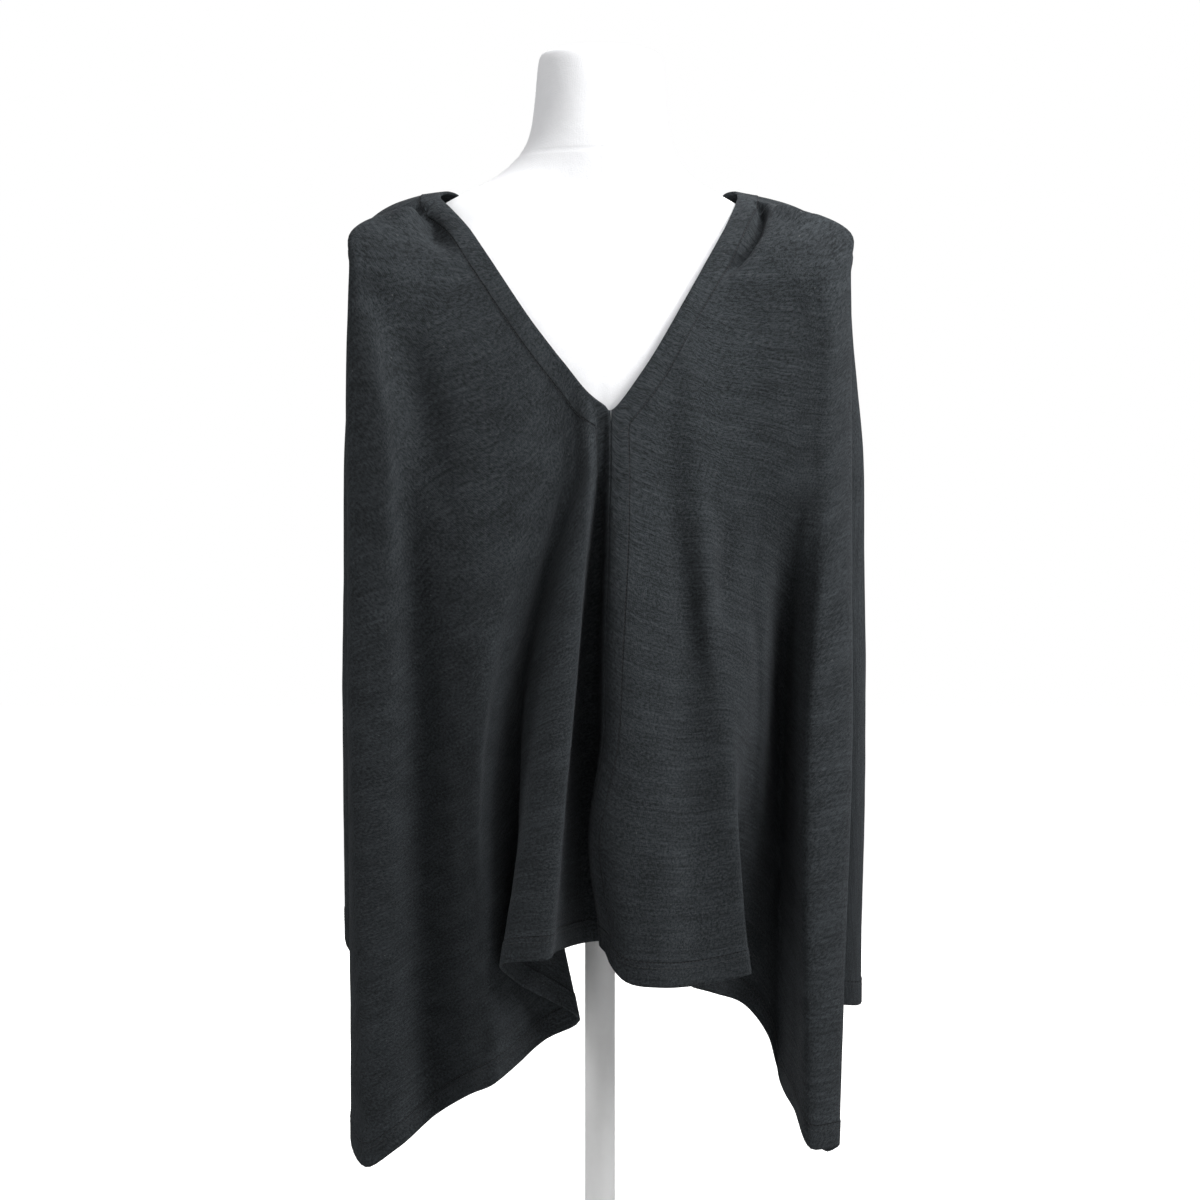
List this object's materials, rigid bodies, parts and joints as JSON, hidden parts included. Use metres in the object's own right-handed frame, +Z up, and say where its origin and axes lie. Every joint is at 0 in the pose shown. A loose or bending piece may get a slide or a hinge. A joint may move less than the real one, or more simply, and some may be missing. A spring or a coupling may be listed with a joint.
{
  "type": "poncho on dress form",
  "caption": "Knitted poncho of two long panels joined front and back with a V neck, draped on a limbless dress form on a short stand.",
  "frame": {"origin": "middle of the underside of the stand's round base", "axes": "+Z up the pole to the neck; the front of the poncho faces -Y; +X is to the right as seen from the front"},
  "size_m": [0.4366, 0.3218, 1.019],
  "materials": {
    "knit": "fine heathered charcoal knit, matt, soft",
    "form_cover": "white stretch jersey, matt",
    "stand": "satin white powder coat"
  },
  "bodies": {
    "root": {"left_panel": "knit", "right_panel": "knit", "dress_form": "form_cover", "stand_pole": "stand", "stand_base": "stand"}
  },
  "joints": []
}
